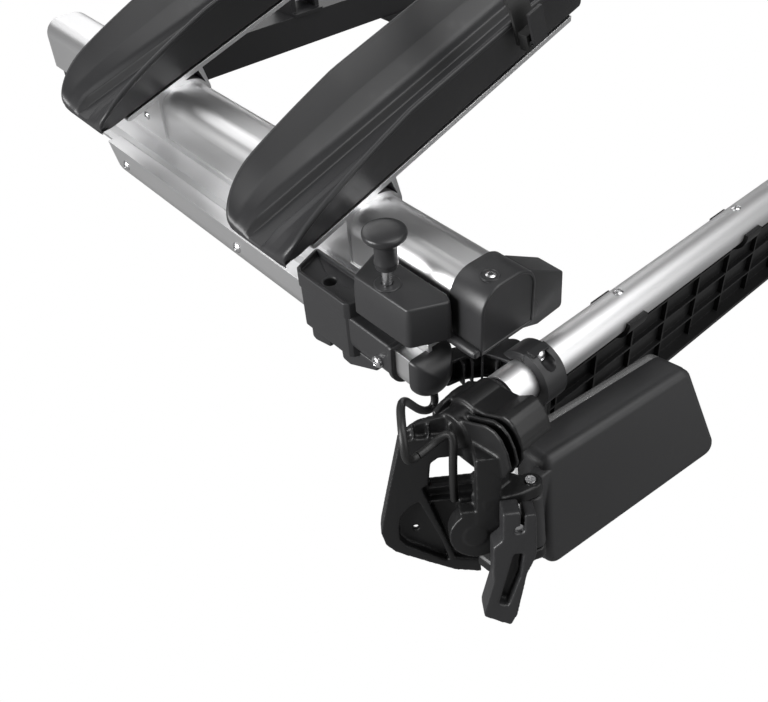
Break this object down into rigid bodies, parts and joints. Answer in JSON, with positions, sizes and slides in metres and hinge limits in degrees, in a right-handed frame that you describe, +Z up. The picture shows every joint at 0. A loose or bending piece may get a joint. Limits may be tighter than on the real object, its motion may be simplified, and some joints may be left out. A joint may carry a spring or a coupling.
{
  "type": "platform bike carrier",
  "caption": "Tow-ball platform carrier for bicycles: aluminium rails with inclined wheel trays, a support hoop, and a sliding light unit with fold-in lamps.",
  "frame": {"origin": "centre of the tow ball in the coupling's socket", "axes": "+X to the right across the vehicle as seen from behind it, +Y forwards to the vehicle, +Z up"},
  "size_m": [1.2064, 0.9561, 0.8346],
  "materials": {
    "anodised": "satin anodised",
    "black_plastic": "fine-grained moulded",
    "tray_plastic": "satin moulded",
    "steel": "zinc plated",
    "black_steel": "powder coated",
    "strap_rubber": "matte",
    "cable_rubber": "satin",
    "lens_clear": "clear, polished",
    "reflector": "metallised",
    "lever_plastic": "fine-grained moulded"
  },
  "bodies": {
    "frame": {"rail_left": "anodised", "rail_right": "anodised", "end_cap_left": "black_plastic", "end_cap_right": "black_plastic", "front_beam": "black_steel", "beam_end_caps": "black_plastic", "tray_front_left": "tray_plastic", "tray_front_right": "tray_plastic", "tray_rear_left": "tray_plastic", "tray_rear_right": "tray_plastic", "tray_brackets_left": "anodised", "tray_brackets_right": "anodised", "wheel_straps": "strap_rubber", "plunger_housing_left": "black_plastic", "plunger_housing_right": "black_plastic", "plunger_springs": "steel", "frame_screws": "steel", "coupling_body": "black_steel", "hoop_brackets": "black_steel"},
    "light_carriage": {"guide_profile_left": "anodised", "guide_profile_right": "anodised", "guide_plugs": "black_plastic", "catch_block_left": "black_plastic", "catch_block_right": "black_plastic", "carriage_arm_left": "black_plastic", "carriage_arm_right": "black_plastic", "tube_clamps": "black_plastic", "carriage_screws": "steel", "carriage_cables": "cable_rubber"},
    "light_bar": {"crossbar": "anodised", "plate_board": "black_plastic", "lamp_bracket_left": "black_plastic", "lamp_bracket_right": "black_plastic", "light_bar_screws": "steel", "lamp_hinge_pins": "steel", "bracket_cables": "cable_rubber"},
    "lamp_left": {"lamp_housing_left": "black_plastic", "lamp_lens_left": "lens_clear", "lamp_insert_left": "reflector"},
    "lamp_right": {"lamp_housing_right": "black_plastic", "lamp_lens_right": "lens_clear", "lamp_insert_right": "reflector"},
    "cam_lever_left": {"cam_lever_left": "black_plastic"},
    "cam_lever_right": {"cam_lever_right": "black_plastic"},
    "plunger_left": {"plunger_knob_left": "black_plastic", "plunger_pin_left": "steel"},
    "plunger_right": {"plunger_knob_right": "black_plastic", "plunger_pin_right": "steel"},
    "coupling_lever": {"coupling_lever": "lever_plastic"},
    "coupling_jaw": {"coupling_jaw": "steel"},
    "hoop": {"hoop": "anodised"},
    "arm_long": {"arm_long": "black_plastic"},
    "arm_short": {"arm_short": "black_plastic"},
    "arm_knob_long": {"arm_knob_long": "black_plastic"},
    "arm_knob_short": {"arm_knob_short": "black_plastic"},
    "buckle_front_left": {"buckle_lever_front_left": "black_plastic"},
    "buckle_front_right": {"buckle_lever_front_right": "black_plastic"},
    "buckle_rear_left": {"buckle_lever_rear_left": "black_plastic"},
    "buckle_rear_right": {"buckle_lever_rear_right": "black_plastic"}
  },
  "joints": [
    {"name": "light_carriage_slide", "type": "slide", "parent": "frame", "child": "light_carriage", "axis": [0, -1, 0], "range_m": [0, 0.075]},
    {"name": "light_bar_tilt", "type": "hinge", "parent": "light_carriage", "child": "light_bar", "pos_m": [0, -0.815, 0.039], "axis": [1, 0, 0], "range_deg": [0, 70]},
    {"name": "lamp_left_fold", "type": "hinge", "parent": "light_bar", "child": "lamp_left", "pos_m": [-0.52, -0.87, 0.01], "axis": [0, -0.1305, -0.9914], "range_deg": [-7, 70]},
    {"name": "lamp_right_fold", "type": "hinge", "parent": "light_bar", "child": "lamp_right", "pos_m": [0.52, -0.87, 0.01], "axis": [0, 0.1305, 0.9914], "range_deg": [-7, 70]},
    {"name": "cam_lever_left_turn", "type": "hinge", "parent": "light_bar", "child": "cam_lever_left", "pos_m": [-0.54587, -0.88183, -0.00426], "axis": [0.589, 0.7853, -0.1908], "range_deg": [0, 60]},
    {"name": "cam_lever_right_turn", "type": "hinge", "parent": "light_bar", "child": "cam_lever_right", "pos_m": [0.54587, -0.88183, -0.00426], "axis": [0.589, -0.7853, 0.1908], "range_deg": [0, 60]},
    {"name": "plunger_left_push", "type": "slide", "parent": "frame", "child": "plunger_left", "axis": [0, 0, -1], "range_m": [0, 0.012]},
    {"name": "plunger_right_push", "type": "slide", "parent": "frame", "child": "plunger_right", "axis": [0, 0, -1], "range_m": [0, 0.012]},
    {"name": "coupling_lever_turn", "type": "hinge", "parent": "frame", "child": "coupling_lever", "pos_m": [0, -0.06, 0.026], "axis": [1, 0, 0], "range_deg": [0, 30]},
    {"name": "coupling_jaw_slide", "type": "slide", "parent": "frame", "child": "coupling_jaw", "axis": [0, -1, 0], "range_m": [0, 0.004]},
    {"name": "hoop_fold", "type": "hinge", "parent": "frame", "child": "hoop", "pos_m": [0, -0.15, 0.098], "axis": [1, 0, 0], "range_deg": [0, 90]},
    {"name": "arm_long_swivel", "type": "hinge", "parent": "hoop", "child": "arm_long", "pos_m": [0.19, -0.15, 0.588], "axis": [0, 0, 1], "range_deg": [-75, 30]},
    {"name": "arm_short_swivel", "type": "hinge", "parent": "hoop", "child": "arm_short", "pos_m": [-0.19, -0.15, 0.478], "axis": [0, 0, 1], "range_deg": [-30, 75]},
    {"name": "arm_knob_long_turn", "type": "hinge", "parent": "arm_long", "child": "arm_knob_long", "pos_m": [0.19, -0.471, 0.6], "axis": [0, 0, 1], "continuous": true},
    {"name": "arm_knob_short_turn", "type": "hinge", "parent": "arm_short", "child": "arm_knob_short", "pos_m": [-0.19, -0.271, 0.49], "axis": [0, 0, 1], "continuous": true},
    {"name": "buckle_rear_left_turn", "type": "hinge", "parent": "frame", "child": "buckle_rear_left", "pos_m": [-0.30927, -0.6757, 0.22357], "axis": [0.9478, 0, 0.319], "range_deg": [0, 100]},
    {"name": "buckle_rear_right_turn", "type": "hinge", "parent": "frame", "child": "buckle_rear_right", "pos_m": [0.30927, -0.6757, 0.22357], "axis": [0.9478, 0, -0.319], "range_deg": [0, 100]},
    {"name": "buckle_front_left_turn", "type": "hinge", "parent": "frame", "child": "buckle_front_left", "pos_m": [-0.30927, -0.3827, 0.22357], "axis": [0.9478, 0, 0.319], "range_deg": [0, 100]},
    {"name": "buckle_front_right_turn", "type": "hinge", "parent": "frame", "child": "buckle_front_right", "pos_m": [0.30927, -0.3827, 0.22357], "axis": [0.9478, 0, -0.319], "range_deg": [0, 100]}
  ],
  "couplings": [
    {"joint": "coupling_jaw_slide", "follows": "coupling_lever_turn", "m_per_rad": 0.007639}
  ]
}
